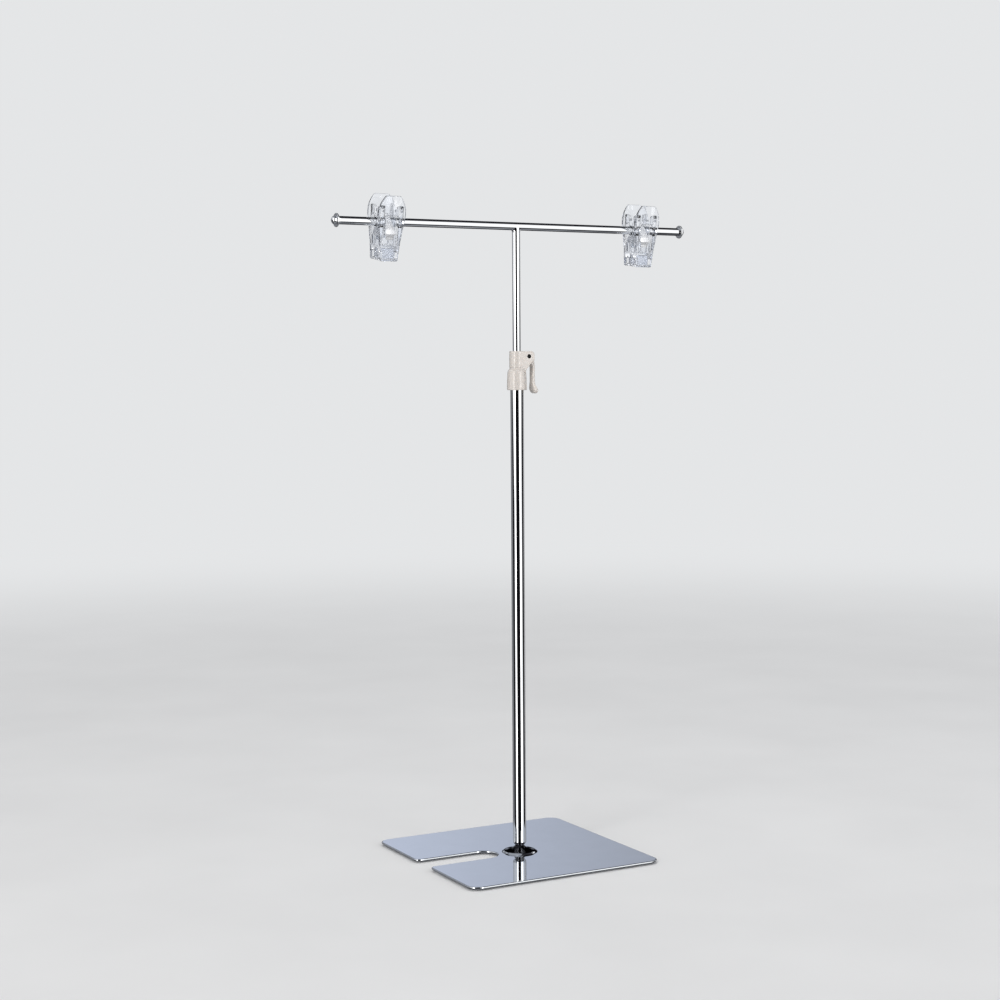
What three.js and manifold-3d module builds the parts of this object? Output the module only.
// Counter-top holder for plastic bags: a slotted square base, a telescopic post with a
// lever lock, and a cross bar that carries two sprung clear clips.
// Units are millimetres, +Z up, +X along the cross bar, +Y away from the user.
// The origin is the centre of the base, on the surface that the stand rests on.
import * as THREE from 'three';
import { mergeVertices } from 'three/addons/utils/BufferGeometryUtils.js';
import Module from 'manifold-3d';

const wasm = await Module();
wasm.setup();

// ---- shared dimensions ----------------------------------------------------------------
const JOINT_GAP = 0.03; // between stacked metal parts

const FOOT_T = 1.5;
const PLATE_T = 1.5;
const PLATE_Z0 = FOOT_T;
const PLATE_Z1 = PLATE_Z0 + PLATE_T;
const BOSS_HOLLOW = 2.2; // depth of the hollow under the boss
const BOSS_H = 4.9; // boss above the plate
const BOSS_UNDER_Z = PLATE_Z0 + BOSS_HOLLOW;
const BOSS_TOP_Z = PLATE_Z1 + BOSS_H;

const POST_Y = -5; // the post axis stands at x = 0, y = POST_Y
const TUBE_R = 5; // lower tube
const TUBE_BORE_R = 4;
const TUBE_Z0 = 10.9;
const TUBE_Z1 = 370.4;
const ROD_R = 3; // upper rod
const ROD_FIT_R = ROD_R + 0.06; // bore of the parts that touch the rod

const BAR_Z = 477.8; // cross bar axis
const BAR_R = 3;

// ---- solids and meshes ----------------------------------------------------------------
// A closed manifold from a three.js geometry, turned right side out if need be.
function solid(geometry) {
  const bare = geometry.clone();
  for (const name of Object.keys(bare.attributes)) {
    if (name !== 'position') bare.deleteAttribute(name);
  }
  const merged = mergeVertices(bare, 1e-4);
  const positions = merged.attributes.position.array;
  const indices = merged.index.array;
  const corner = (index) => new THREE.Vector3().fromArray(positions, 3 * index);
  const triangles = [];
  let volume = 0;
  for (let i = 0; i < indices.length; i += 3) {
    const [a, b, c] = indices.slice(i, i + 3);
    if (a === b || b === c || c === a) continue;
    triangles.push(a, b, c);
    volume += corner(a).dot(corner(b).cross(corner(c))) / 6;
  }
  if (volume < 0) triangles.reverse();
  return new wasm.Manifold(new wasm.Mesh({
    numProp: 3,
    vertProperties: new Float32Array(positions),
    triVerts: new Uint32Array(triangles),
  }));
}

function toGeometry(manifold) {
  const { numVert, numProp, vertProperties, triVerts } = manifold.getMesh();
  const positions = new Float32Array(numVert * 3);
  for (let i = 0; i < numVert; i++) {
    for (let k = 0; k < 3; k++) positions[3 * i + k] = vertProperties[i * numProp + k];
  }
  const geometry = new THREE.BufferGeometry();
  geometry.setAttribute('position', new THREE.BufferAttribute(positions, 3));
  geometry.setIndex(new THREE.BufferAttribute(new Uint32Array(triVerts), 1));
  geometry.computeVertexNormals();
  return geometry;
}

const vectors = (points) => points.map(([x, y]) => new THREE.Vector2(x, y));
const shapeOf = (points) => new THREE.Shape(vectors(points));
const closed = (points) => [...points, points[0]];
// points followed by their mirror image in the vertical axis, in reverse order
const mirrored = (points) => [...points, ...points.slice().reverse().map(([x, y]) => [-x, y])];

// profile (radius, z) turned about +Z at (x, y), by default about the post axis
function turned(profile, segments, x = 0, y = POST_Y) {
  const geometry = new THREE.LatheGeometry(vectors(profile), segments);
  geometry.rotateX(Math.PI / 2);
  geometry.translate(x, y, 0);
  return solid(geometry);
}
function postCylinder(radius, z0, z1, segments) {
  return turned([[0, z0], [radius, z0], [radius, z1], [0, z1]], segments);
}
// profile (radius, x) turned about +X
function turnedX(profile, segments) {
  const geometry = new THREE.LatheGeometry(vectors(profile), segments);
  geometry.rotateZ(-Math.PI / 2);
  return solid(geometry);
}
// closed profile of a plain tube, as (radius, along)
function tubeProfile(inner, outer, start, end) {
  return closed([[inner, start], [outer, start], [outer, end], [inner, end]]);
}

function extrusion(shape, depth, curveSegments) {
  return new THREE.ExtrudeGeometry(shape, { depth, bevelEnabled: false, curveSegments });
}
function raisedXY(shape, z0, z1, curveSegments) {
  const geometry = extrusion(shape, z1 - z0, curveSegments);
  geometry.translate(0, 0, z0);
  return solid(geometry);
}
// shape drawn in (x, z), thick from y0 to y1
function raisedXZ(shape, y0, y1, curveSegments) {
  const geometry = extrusion(shape, y1 - y0, curveSegments);
  geometry.rotateX(Math.PI / 2);
  geometry.translate(0, y1, 0);
  return solid(geometry);
}
// shape drawn in (y, z), thick from x0 to x1
function raisedYZ(shape, x0, x1, curveSegments) {
  const geometry = extrusion(shape, x1 - x0, curveSegments);
  geometry.applyMatrix4(new THREE.Matrix4().makeBasis(
    new THREE.Vector3(0, 1, 0),
    new THREE.Vector3(0, 0, 1),
    new THREE.Vector3(1, 0, 0),
  ));
  geometry.translate(x0, 0, 0);
  return solid(geometry);
}
// shape drawn in (x, z), centred on the post in y
function acrossPost(shape, width, curveSegments) {
  return raisedXZ(shape, POST_Y - width / 2, POST_Y + width / 2, curveSegments);
}

function block(x0, x1, y0, y1, z0, z1) {
  const geometry = new THREE.BoxGeometry(x1 - x0, y1 - y0, z1 - z0);
  geometry.translate((x0 + x1) / 2, (y0 + y1) / 2, (z0 + z1) / 2);
  return solid(geometry);
}
// box centred on the post in y
function postBlock(x0, x1, width, z0, z1) {
  return block(x0, x1, POST_Y - width / 2, POST_Y + width / 2, z0, z1);
}
// round bar along +Y, centred on the post in y
function barAcrossPost(radius, x, z, length, segments) {
  const geometry = new THREE.CylinderGeometry(radius, radius, length, segments);
  geometry.translate(x, POST_Y, z);
  return solid(geometry);
}

const FINISH = {
  chrome: { color: 0xc9cdd2, roughness: 0.06, metalness: 1 },
  steel: { color: 0xb9bcc0, roughness: 0.25, metalness: 1 },
  zinc: { color: 0x8f9296, roughness: 0.4, metalness: 1 },
  ivory: { color: 0xe2dbd3, roughness: 0.35, metalness: 0 },
  rubber: { color: 0x232323, roughness: 0.9, metalness: 0 },
  nylon: { color: 0xdedbd2, roughness: 0.5, metalness: 0 },
  clear: { color: 0xe9eef6, roughness: 0.05, metalness: 0, transparent: true, opacity: 0.35 },
  softGrip: { color: 0xdfe4ea, roughness: 0.5, metalness: 0, transparent: true, opacity: 0.6 },
};

function add(parent, name, manifold, finish) {
  const mesh = new THREE.Mesh(toGeometry(manifold), new THREE.MeshStandardMaterial(finish));
  mesh.name = name;
  parent.add(mesh);
}

// ---- base -----------------------------------------------------------------------------
const PLATE_SIDE = 160;
const PLATE_CORNER_R = 9;
const SLOT_HALF = 11.1; // half width of the slot, which is open at the left edge
const SLOT_TIP_X = -17.5;
const SLOT_MOUTH_R = 4.5;
const BOSS_R = 14; // raised pan under the post: a low brim with a narrow hub
const BOSS_HOLE_R = 2.7;
const BOSS_SEGMENTS = 36;
// upper face of the boss (radius, height above the plate top), from the brim inward
const BOSS_TOP = [
  [13.3, 0.2], [12.7, 0.7], [12.1, 1.15], [11.3, 1.45], [8.8, 1.95],
  [6.6, 2.55], [5.1, 3.35], [4.1, 4.15], [3.5, BOSS_H],
];
// under face of the boss (radius, height above the plate underside), from the hub outward
const BOSS_UNDER = [[5.6, BOSS_HOLLOW], [9.4, 1.65], [11.2, 1.2], [11.9, 0.75], [12.5, 0.3]];

const FOOT_R = 7;
const FOOT_AT = 66; // feet at +-66 in x and y

function plateOutline() {
  const half = PLATE_SIDE / 2;
  const cornerAt = half - PLATE_CORNER_R;
  const mouthX = -half + SLOT_MOUTH_R;
  const mouthY = SLOT_HALF + SLOT_MOUTH_R;
  const tipCentreX = SLOT_TIP_X - SLOT_HALF;
  const quarter = Math.PI / 2;
  const outline = new THREE.Shape();
  outline.moveTo(-cornerAt, -half);
  outline.lineTo(cornerAt, -half);
  outline.absarc(cornerAt, -cornerAt, PLATE_CORNER_R, -quarter, 0, false);
  outline.lineTo(half, cornerAt);
  outline.absarc(cornerAt, cornerAt, PLATE_CORNER_R, 0, quarter, false);
  outline.lineTo(-cornerAt, half);
  outline.absarc(-cornerAt, cornerAt, PLATE_CORNER_R, quarter, Math.PI, false);
  outline.lineTo(-half, mouthY);
  outline.absarc(mouthX, mouthY, SLOT_MOUTH_R, Math.PI, 3 * quarter, false);
  outline.lineTo(tipCentreX, SLOT_HALF);
  outline.absarc(tipCentreX, 0, SLOT_HALF, quarter, -quarter, true);
  outline.lineTo(mouthX, -SLOT_HALF);
  outline.absarc(mouthX, -mouthY, SLOT_MOUTH_R, quarter, Math.PI, false);
  outline.lineTo(-half, -cornerAt);
  outline.absarc(-cornerAt, -cornerAt, PLATE_CORNER_R, Math.PI, 3 * quarter, false);
  return outline;
}

function basePlate() {
  // the opening is a little smaller than the boss, so that the two join
  const plate = raisedXY(plateOutline(), PLATE_Z0, PLATE_Z1, 10)
    .subtract(postCylinder(BOSS_R - 0.02, -1, 9, BOSS_SEGMENTS));
  const boss = turned(closed([
    [BOSS_HOLE_R, BOSS_UNDER_Z],
    ...BOSS_UNDER.map(([radius, height]) => [radius, PLATE_Z0 + height]),
    [13.2, PLATE_Z0], [BOSS_R, PLATE_Z0], [BOSS_R, PLATE_Z1],
    ...BOSS_TOP.map(([radius, height]) => [radius, PLATE_Z1 + height]),
    [BOSS_HOLE_R, BOSS_TOP_Z],
  ]), BOSS_SEGMENTS);
  return plate.add(boss);
}

function foot(x, y) {
  const top = FOOT_T - 0.02;
  const profile = [[0, 0], [FOOT_R - 0.5, 0], [FOOT_R, 0.4], [FOOT_R - 0.2, top], [0, top]];
  return turned(profile, 24, x, y);
}

// ---- screw joint and lower tube ---------------------------------------------------------
const WASHER_Z1 = BOSS_UNDER_Z - JOINT_GAP;
const WASHER_Z0 = WASHER_Z1 - 0.8;
const SCREW_Z0 = 0.55;
const SCREW_Z1 = 23.2;
const SCREW_HEAD_R = 4.5;
const SCREW_R = 2.45;
const PLUG_R = TUBE_BORE_R - 0.07;
const PLUG_BORE_R = 2.52;
const PLUG_Z1 = 30.2;

function baseWasher() {
  return turned(tubeProfile(2.65, 4.9, WASHER_Z0, WASHER_Z1), 32);
}

function baseScrew() {
  const headTop = WASHER_Z0 - JOINT_GAP;
  const screw = turned([
    [0, SCREW_Z0], [3.6, SCREW_Z0], [SCREW_HEAD_R, 1.2], [SCREW_HEAD_R, headTop],
    [SCREW_R, headTop], [SCREW_R, SCREW_Z1 - 0.8], [1.9, SCREW_Z1], [0, SCREW_Z1],
  ], 24);
  const hexSocket = new THREE.CylinderGeometry(1.73, 1.73, 1.5, 6);
  hexSocket.rotateX(Math.PI / 2);
  hexSocket.translate(0, POST_Y, SCREW_Z0 + 0.55);
  return screw.subtract(solid(hexSocket));
}

// flares from the boss out to the tube, then fills the tube's lower end
function tubePlug() {
  const bottom = BOSS_TOP_Z + JOINT_GAP;
  const shoulder = TUBE_Z0 - JOINT_GAP;
  return turned(closed([
    [PLUG_BORE_R, bottom], [2.95, bottom], [3.3, BOSS_TOP_Z + 0.4], [3.85, BOSS_TOP_Z + 1.0],
    [4.35, BOSS_TOP_Z + 1.6], [4.75, BOSS_TOP_Z + 2.2], [TUBE_R, shoulder], [PLUG_R, shoulder],
    [PLUG_R, PLUG_Z1 - 0.6], [3.4, PLUG_Z1], [0, PLUG_Z1], [0, 25.1], [PLUG_BORE_R, 24.2],
  ]), 36);
}

function lowerTube() {
  const bevel = 0.3;
  return turned(closed([
    [TUBE_BORE_R, TUBE_Z0], [TUBE_R, TUBE_Z0], [TUBE_R, TUBE_Z1 - bevel],
    [TUBE_R - bevel, TUBE_Z1], [TUBE_BORE_R, TUBE_Z1],
  ]), 36);
}

// ---- lock collar, pin, shoe and lever -----------------------------------------------------
const COLLAR_Z0 = 355.5;
const COLLAR_Z1 = 384.7;
const COLLAR_BORE_R = 5.08; // round the lower tube
const COLLAR_BORE_Z1 = 370.8;
const COLLAR_ROD_BORE_R = 3.1; // round the rod
const COLLAR_TOP_R = 5.6;
const LUG_X = 12.5; // outer end of the two lugs
const LUG_GAP = 5.6; // between the lugs
const LUG_TOP_R = 3;
const LUG_LOWER_R = 1.2;

const PIN_X = 7.7;
const PIN_Z = 380.75;
const PIN_R = 1.42;
const PIN_LENGTH = 9.8;
const PIN_HOLE_R = 1.5;

const SHOE_W = 5;
const SHOE_X0 = 2.4;
const SHOE_X1 = 4.3;
const SHOE_Z0 = 376.6;
const SHOE_Z1 = 383.4;

const CAM_R = 2.75; // round cam head of the lever
const CAM_OFFSET = 0.5; // its eccentricity, toward the post
const LEVER_W = 5; // shank width
const SHANK_Z0 = 360.9;
const THUMB_W = 8;
// lever neck and shank (x, z), clockwise seen from the front, starting over the cam
const SHANK_OUTLINE = [
  [PIN_X - 1.0, PIN_Z + 2.2], [PIN_X + 1.3, PIN_Z + 2.35], [PIN_X + 3.6, PIN_Z + 1.2],
  [13.4, 378.3], [14.1, 376.2], [14.45, 373.5], [14.45, SHANK_Z0], [12.1, SHANK_Z0],
  [12.1, 372.6], [11.5, 374.6], [9.9, 376.9], [8.2, 378.0],
];
// thumb pad seen from the side (x, z)
const THUMB_OUTLINE = [
  [12.13, 361.5], [14.45, 361.5], [14.47, 358.9], [15.15, 357.3], [16.2, 355.7], [16.5, 354.6],
  [16.2, 353.4], [15.4, 352.9], [14.3, 352.9], [13.4, 353.7], [12.7, 355.2], [12.25, 357.2],
];

const pinHole = () => barAcrossPost(PIN_HOLE_R, PIN_X, PIN_Z, 16, 32);

// upper collar seen from above: a half round with two straight sides out to the lugs
function collarTopOutline() {
  const outline = new THREE.Shape();
  outline.moveTo(LUG_X, POST_Y - COLLAR_TOP_R);
  outline.lineTo(LUG_X, POST_Y + COLLAR_TOP_R);
  outline.lineTo(0, POST_Y + COLLAR_TOP_R);
  outline.absarc(0, POST_Y, COLLAR_TOP_R, Math.PI / 2, 1.5 * Math.PI, false);
  return outline;
}

// upper collar in (x, z): rounded outer top corner, slanting underside of the lugs
function collarSideOutline() {
  const outline = new THREE.Shape();
  outline.moveTo(-9, 368);
  outline.lineTo(5.25, 368);
  outline.lineTo(5.25, 370.9);
  outline.lineTo(10.3, 376.6);
  outline.absarc(LUG_X - LUG_LOWER_R, 378.3, LUG_LOWER_R, -0.75, 0, false);
  outline.lineTo(LUG_X, COLLAR_Z1 - LUG_TOP_R);
  outline.absarc(LUG_X - LUG_TOP_R, COLLAR_Z1 - LUG_TOP_R, LUG_TOP_R, 0, Math.PI / 2, false);
  outline.lineTo(-9, COLLAR_Z1);
  return outline;
}

function lockCollar() {
  const lower = turned([
    [0, COLLAR_Z0], [7.45, COLLAR_Z0], [7.5, COLLAR_Z0 + 0.4], [7.3, COLLAR_Z0 + 8],
    [6.95, 369.2], [5.9, 372.2], [5.4, 373], [0, 373],
  ], 36);
  const upper = raisedXY(collarTopOutline(), 369.6, COLLAR_Z1, 18)
    .intersect(acrossPost(collarSideOutline(), 16, 8));
  const slot = postBlock(4.35, 20, LUG_GAP, 374.4, 390); // between the lugs
  const shoePocket = postBlock(2, 5, SHOE_W + 0.3, SHOE_Z0 - 0.2, SHOE_Z1 + 0.3);
  return lower.add(upper)
    .subtract(postCylinder(COLLAR_BORE_R, COLLAR_Z0 - 1, COLLAR_BORE_Z1, 36))
    .subtract(postCylinder(COLLAR_ROD_BORE_R, 360, 390, 36))
    .subtract(slot)
    .subtract(shoePocket)
    .subtract(pinHole());
}

function brakeShoe() {
  return postBlock(SHOE_X0, SHOE_X1, SHOE_W, SHOE_Z0, SHOE_Z1)
    .subtract(postCylinder(ROD_FIT_R, 360, 390, 44));
}

// thumb pad in (y, z): widens below the shank and ends in a round tip
function thumbFrontOutline() {
  const neck = LEVER_W / 2;
  const wide = THUMB_W / 2;
  const tipZ = 352.2;
  const outline = new THREE.Shape();
  const curve = (y1, z1, y2, z2, y, z) =>
    outline.bezierCurveTo(POST_Y + y1, z1, POST_Y + y2, z2, POST_Y + y, z);
  outline.moveTo(POST_Y - neck, 362);
  outline.lineTo(POST_Y - neck, 360.5);
  curve(-neck, 358.4, -wide, 358.6, -wide, 356.4);
  curve(-wide, 353.6, -2.2, tipZ, 0, tipZ);
  curve(2.2, tipZ, wide, 353.6, wide, 356.4);
  curve(wide, 358.6, neck, 358.4, neck, 360.5);
  outline.lineTo(POST_Y + neck, 362);
  return outline;
}

function lockLever() {
  const shank = acrossPost(shapeOf(SHANK_OUTLINE), LEVER_W);
  const cam = barAcrossPost(CAM_R, PIN_X - CAM_OFFSET, PIN_Z, LEVER_W, 40);
  const thumb = acrossPost(shapeOf(THUMB_OUTLINE), 12)
    .intersect(raisedYZ(thumbFrontOutline(), 8, 20, 5));
  return shank.add(cam).add(thumb).subtract(pinHole());
}

// ---- sliding rod ------------------------------------------------------------------------
const ROD_DATUM_Z = 152; // the parts at the rod's lower end are measured from here

function guideBush() {
  const radius = TUBE_BORE_R - 0.1;
  const bottom = ROD_DATUM_Z + 3;
  const top = ROD_DATUM_Z + 21;
  return turned(closed([
    [ROD_FIT_R, bottom], [radius - 0.2, bottom], [radius, bottom + 0.5],
    [radius, top - 0.5], [radius - 0.2, top], [ROD_FIT_R, top],
  ]), 28);
}

function innerRod() {
  const rod = postCylinder(ROD_R, ROD_DATUM_Z + 2.6, BAR_Z + 1, 40);
  // coped to sit under the cross bar
  const cope = new THREE.CylinderGeometry(BAR_R + 0.08, BAR_R + 0.08, 16, 48);
  cope.rotateZ(-Math.PI / 2);
  cope.translate(0, POST_Y, BAR_Z);
  const screwHole = turned([
    [0, ROD_DATUM_Z], [1.6, ROD_DATUM_Z], [1.6, ROD_DATUM_Z + 14], [0, ROD_DATUM_Z + 15],
  ], 24);
  return rod.subtract(solid(cope))
    .subtract(postBlock(-8, 8, 16, BAR_Z - 0.2, BAR_Z + 8))
    .subtract(screwHole);
}

// its wide head holds the bush on the rod end
function rodEndScrew() {
  const headR = 3.7;
  const shankR = 1.52;
  const profile = [ // (radius, height above the datum)
    [0, -0.4], [3.2, -0.4], [headR, 0.3], [headR, 2.5], [shankR, 2.5], [shankR, 12], [0, 13],
  ].map(([radius, height]) => [radius, ROD_DATUM_Z + height]);
  const driverSlot = postBlock(-5, 5, 0.9, ROD_DATUM_Z - 2, ROD_DATUM_Z + 0.7);
  return turned(profile, 24).subtract(driverSlot);
}

// ---- cross bar, in a frame centred on its own axis ------------------------------------------
const BAR_BORE_R = 2.2;
const BAR_HALF = 145.6;
const CAP_INNER_X = 134;
const CAP_END_X = 150;
const CAP_PLUG_R = 2.12;
const CAP_FLANGE_R = 5;
const CAP_FLANGE_T = 1.2;

function crossBar() {
  return turnedX(tubeProfile(BAR_BORE_R, BAR_R, -BAR_HALF, BAR_HALF), 44);
}

// side is -1 for the left end and 1 for the right
function barEndCap(side) {
  const bevel = 0.3;
  const inner = BAR_HALF + 0.04; // the two faces of the flange
  const outer = BAR_HALF + CAP_FLANGE_T;
  const profile = [
    [0, CAP_INNER_X], [1.7, CAP_INNER_X], [CAP_PLUG_R, CAP_INNER_X + 0.6], [CAP_PLUG_R, inner],
    [CAP_FLANGE_R - bevel, inner], [CAP_FLANGE_R, inner + bevel],
    [CAP_FLANGE_R, outer - bevel], [CAP_FLANGE_R - bevel, outer],
    [3.1, outer], [2.95, outer + 0.9], [2.4, outer + 2.1],
    [1.3, CAP_END_X - 0.35], [0, CAP_END_X],
  ];
  return turnedX(profile.map(([radius, along]) => [radius, side * along]), 24);
}

// ---- clips ------------------------------------------------------------------------------
// Clip frame: the bar axis is the x axis and the front leaf lies at negative y.
const CLIPS = [ // x along the bar, turn about the bar
  { side: 'left', x: -107.2, tilt: THREE.MathUtils.degToRad(10) },
  { side: 'right', x: 109.8, tilt: THREE.MathUtils.degToRad(7.5) },
];
const SLEEVE_R0 = 3.06;
const SLEEVE_R1 = 3.38;
const SLEEVE_HALF = 9;

const NOTCH_R = 3.5; // leaf notch round the bar
const PART_GAP = 0.3; // each leaf edge to the parting plane y = 0
const LEAF_Z0 = -27.5;
const LEAF_Z1 = 19.4;
const WINDOW_HALF = 5.5; // half width of the window and of the hollows in line with it
const BRIDGE_Z0 = -16.7; // recessed bridge below the window
const BRIDGE_Z1 = -9;
const CHEEK_HALF = 8.75;
// right edge of the leaf seen from the front (x, z), top down
const LEAF_EDGE = [
  [5.6, LEAF_Z1], [6.9, 18.2], [8.2, 16], [9.7, 13.1], [10.6, 10.2], [10.95, 7], [10.8, 4.5],
  [10.5, 2.5], [9.3, -5.5], [8.65, -10], [8.05, -14], [7.4, -20], [7.05, -24], [6.85, -26.6],
  [6.1, LEAF_Z0],
];
// right half of the spring window (x, z), bottom up
const WINDOW_EDGE = [[WINDOW_HALF, -9.8], [5.3, 4.2], [4.2, 5.4]];
// hollow behind the tab (y, z)
const TAB_HOLLOW = [[1, 5], [-7.9, 5], [-8.65, 12.5], [1, 12.5]];
// space behind the face plate (y, z)
const BEHIND_FACE = [
  [2, -17.2], [-6.9, -17.2], [-7.3, -10], [-7.75, 0], [-8.1, 8], [-8.85, 15], [2, 15],
];

const PAD_HALF = 5.5;
const PAD_BACK_Y = -1.42;
const PAD_Z0 = -26.2;
const PAD_Z1 = -18.6;
const PAD_TEETH = 5;
const TOOTH_ROOT_Y = -0.62;
const TOOTH_TIP_Y = -0.16;

const SPRING_T = 0.6;
const SPRING_BEND_R = 3.85; // middle of the strip over the bar
const BEND_STEPS = 12;
const BEND_MARGIN = 0.24; // radians left off each end of the half turn
// front half of the strip's centre line (y, z), from the lip up to the bend
const SPRING_LEG = [
  [-7.35, -12.1], [-7.65, -10.4], [-8.6, -7.9], [-7.55, -5.2], [-5.7, -2.0],
  [-SPRING_BEND_R - 0.06, 0.9],
];
// right edge of the spring seen from the front (x, z), top down
const SPRING_EDGE = [
  [1.75, 6], [1.75, 3.0], [4.3, -7.7], [4.2, -8.3], [3.1, -8.8], [3.0, -11.7], [2.6, -12.5],
];

// leaf in (y, z): outer face, jaw, parting edge, notch round the bar, arched cheek top,
// inner face of the tab
function leafSection() {
  const notchDrop = Math.sqrt(NOTCH_R ** 2 - PART_GAP ** 2);
  const notchStart = Math.atan2(-notchDrop, -PART_GAP);
  const notchEnd = Math.atan2(3.3, -1.15);
  const section = new THREE.Shape();
  section.moveTo(-9.4, LEAF_Z1);
  section.lineTo(-10.9, LEAF_Z1);
  section.quadraticCurveTo(-11.45, 19.3, -11.35, 18.4);
  section.lineTo(-10.2, 8);
  section.lineTo(-9.85, 0);
  section.lineTo(-9.4, -10);
  section.lineTo(-8.95, LEAF_Z0 + 1);
  section.quadraticCurveTo(-8.9, LEAF_Z0, -7.9, LEAF_Z0);
  section.lineTo(-PART_GAP, LEAF_Z0);
  section.lineTo(-PART_GAP, -notchDrop);
  section.absarc(0, 0, NOTCH_R, notchStart, notchEnd, true);
  section.lineTo(-2.2, 7.2);
  section.quadraticCurveTo(-2.9, 11.0, -6.0, 11.5);
  section.lineTo(-8.5, 11.7);
  return section;
}

// round-topped core of the jaw block in (y, z)
function jawCoreOutline() {
  const radius = 1.7;
  const centreY = -3.6;
  const bottom = -25.8;
  const springing = -21.9; // where the round top begins
  const outline = new THREE.Shape();
  outline.moveTo(centreY - radius, bottom);
  outline.lineTo(centreY + radius, bottom);
  outline.lineTo(centreY + radius, springing);
  outline.absarc(centreY, springing, radius, 0, Math.PI, false);
  return outline;
}

function leaf() {
  const across = [-WINDOW_HALF, WINDOW_HALF];
  const core = jawCoreOutline();
  const behind = shapeOf(BEHIND_FACE);
  const padPocketHalf = PAD_HALF + 0.1;
  const cuts = [
    raisedXZ(shapeOf(mirrored(WINDOW_EDGE)), -14, 1),
    block(...across, -14, -6.75, BRIDGE_Z0, BRIDGE_Z1), // recess in front of the bridge
    block(...across, -4.9, 1, BRIDGE_Z0, BRIDGE_Z1), // hollow behind the bridge
    raisedYZ(shapeOf(TAB_HOLLOW), ...across),
    // the face plate stands out past the two cheeks behind it
    raisedYZ(behind, CHEEK_HALF, 14),
    raisedYZ(behind, -14, -CHEEK_HALF),
    // cores in the jaw block, one from each side
    raisedYZ(core, 4.4, 12, 5),
    raisedYZ(core, -12, -4.4, 5),
    // pocket for the grip pad
    block(-padPocketHalf, padPocketHalf, -1.5, 1, PAD_Z0 - 0.1, PAD_Z1 + 0.1),
  ];
  const body = raisedXZ(shapeOf(mirrored(LEAF_EDGE)), -14, 0.5)
    .intersect(raisedYZ(leafSection(), -12, 12, 10));
  return cuts.reduce((rest, cut) => rest.subtract(cut), body);
}

// grip pad with a row of teeth toward the parting plane
function pad() {
  const pitch = (PAD_Z1 - PAD_Z0) / PAD_TEETH;
  const points = [[PAD_BACK_Y, PAD_Z0], [PAD_BACK_Y, PAD_Z1]];
  for (let i = 0; i < PAD_TEETH; i++) {
    const z = PAD_Z1 - i * pitch;
    points.push([TOOTH_ROOT_Y, z], [TOOTH_TIP_Y, z - pitch / 2]);
  }
  points.push([TOOTH_ROOT_Y, PAD_Z0]);
  return raisedYZ(shapeOf(points), -PAD_HALF, PAD_HALF);
}

// centre line of the strip in (y, z), from the front lip over the bar to the rear lip
function springLine() {
  const bend = [];
  for (let i = 1; i < BEND_STEPS; i++) {
    const angle = Math.PI - BEND_MARGIN - ((Math.PI - 2 * BEND_MARGIN) * i) / BEND_STEPS;
    bend.push([SPRING_BEND_R * Math.cos(angle), SPRING_BEND_R * Math.sin(angle)]);
  }
  const rearLeg = SPRING_LEG.slice().reverse().map(([y, z]) => [-y, z]);
  return [...SPRING_LEG, ...bend, ...rearLeg];
}

function spring() {
  const outer = [];
  const inner = [];
  springLine().forEach(([y, z], i, line) => {
    const before = line[Math.max(0, i - 1)];
    const after = line[Math.min(line.length - 1, i + 1)];
    const dy = after[0] - before[0];
    const dz = after[1] - before[1];
    const scale = SPRING_T / 2 / Math.hypot(dy, dz);
    outer.push([y - dz * scale, z + dy * scale]);
    inner.push([y + dz * scale, z - dy * scale]);
  });
  const strip = raisedYZ(shapeOf([...outer, ...inner.reverse()]), -4.4, 4.4);
  return strip.intersect(raisedXZ(shapeOf(mirrored(SPRING_EDGE)), -12, 12));
}

function clipSleeve() {
  return turnedX(tubeProfile(SLEEVE_R0, SLEEVE_R1, -SLEEVE_HALF, SLEEVE_HALF), 40);
}

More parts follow.
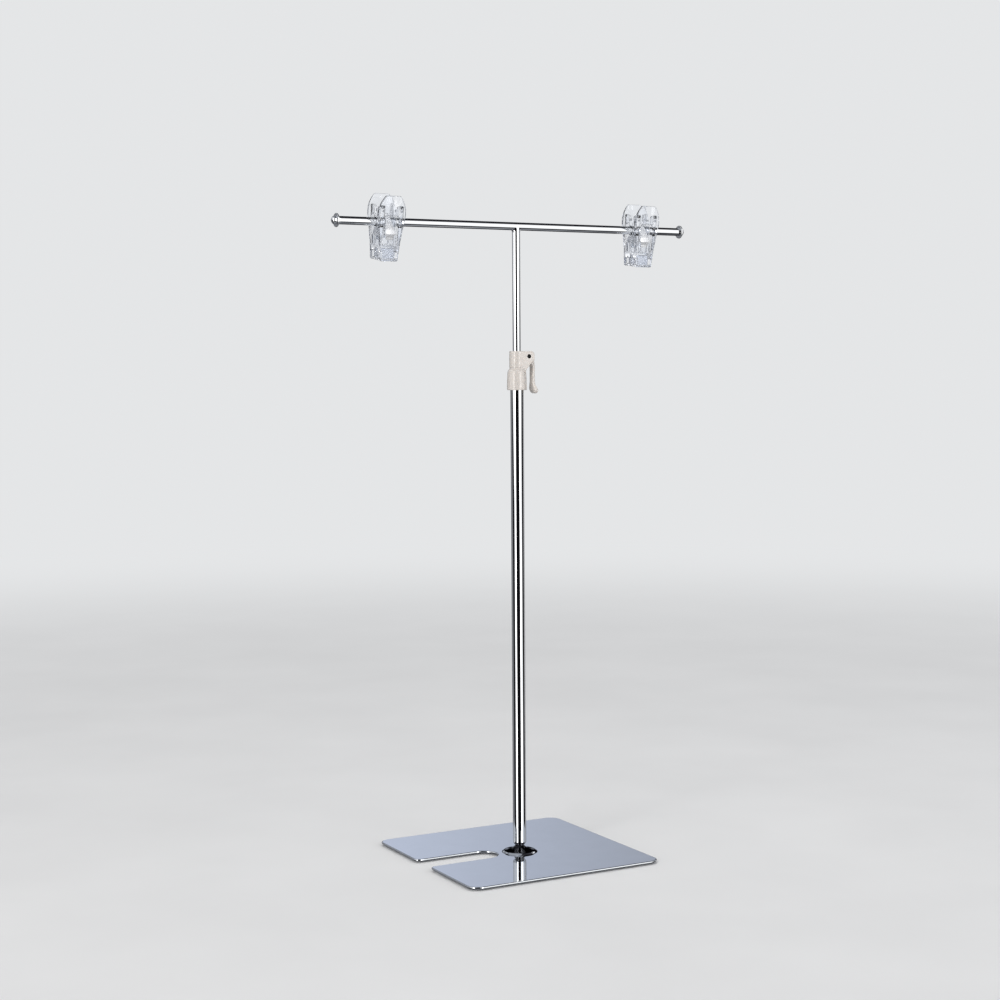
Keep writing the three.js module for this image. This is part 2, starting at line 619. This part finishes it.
function addClip(parent, { side, x, tilt }) {
  const clip = new THREE.Group();
  clip.position.set(x, 0, 0);
  clip.rotation.x = tilt;
  parent.add(clip);
  add(clip, `${side}_clip_sleeve`, clipSleeve(), FINISH.clear);
  add(clip, `${side}_clip_spring`, spring(), FINISH.steel);
  add(clip, `${side}_front_leaf`, leaf(), FINISH.clear);
  add(clip, `${side}_front_pad`, pad(), FINISH.softGrip);
  const rear = new THREE.Group(); // the same leaf and pad, turned to face the front ones
  rear.rotation.z = Math.PI;
  clip.add(rear);
  add(rear, `${side}_rear_leaf`, leaf(), FINISH.clear);
  add(rear, `${side}_rear_pad`, pad(), FINISH.softGrip);
}

// ---- assembly ---------------------------------------------------------------------------
const holder = new THREE.Group();
add(holder, 'base_plate', basePlate(), FINISH.chrome);
for (const [row, y] of [['front', -FOOT_AT], ['rear', FOOT_AT]]) {
  for (const [side, x] of [['left', -FOOT_AT], ['right', FOOT_AT]]) {
    add(holder, `foot_${row}_${side}`, foot(x, y), FINISH.rubber);
  }
}
add(holder, 'base_washer', baseWasher(), FINISH.zinc);
add(holder, 'base_screw', baseScrew(), FINISH.zinc);
add(holder, 'tube_plug', tubePlug(), FINISH.chrome);
add(holder, 'lower_tube', lowerTube(), FINISH.chrome);
add(holder, 'lock_collar', lockCollar(), FINISH.ivory);
add(holder, 'lever_pin', barAcrossPost(PIN_R, PIN_X, PIN_Z, PIN_LENGTH, 28), FINISH.steel);
add(holder, 'brake_shoe', brakeShoe(), FINISH.nylon);
add(holder, 'lock_lever', lockLever(), FINISH.ivory);
add(holder, 'guide_bush', guideBush(), FINISH.nylon);
add(holder, 'inner_rod', innerRod(), FINISH.chrome);
add(holder, 'rod_end_screw', rodEndScrew(), FINISH.zinc);

const bar = new THREE.Group();
bar.position.set(0, POST_Y, BAR_Z);
holder.add(bar);
add(bar, 'cross_bar', crossBar(), FINISH.chrome);
add(bar, 'bar_end_cap_left', barEndCap(-1), FINISH.chrome);
add(bar, 'bar_end_cap_right', barEndCap(1), FINISH.chrome);
for (const clip of CLIPS) addClip(bar, clip);

export default holder;
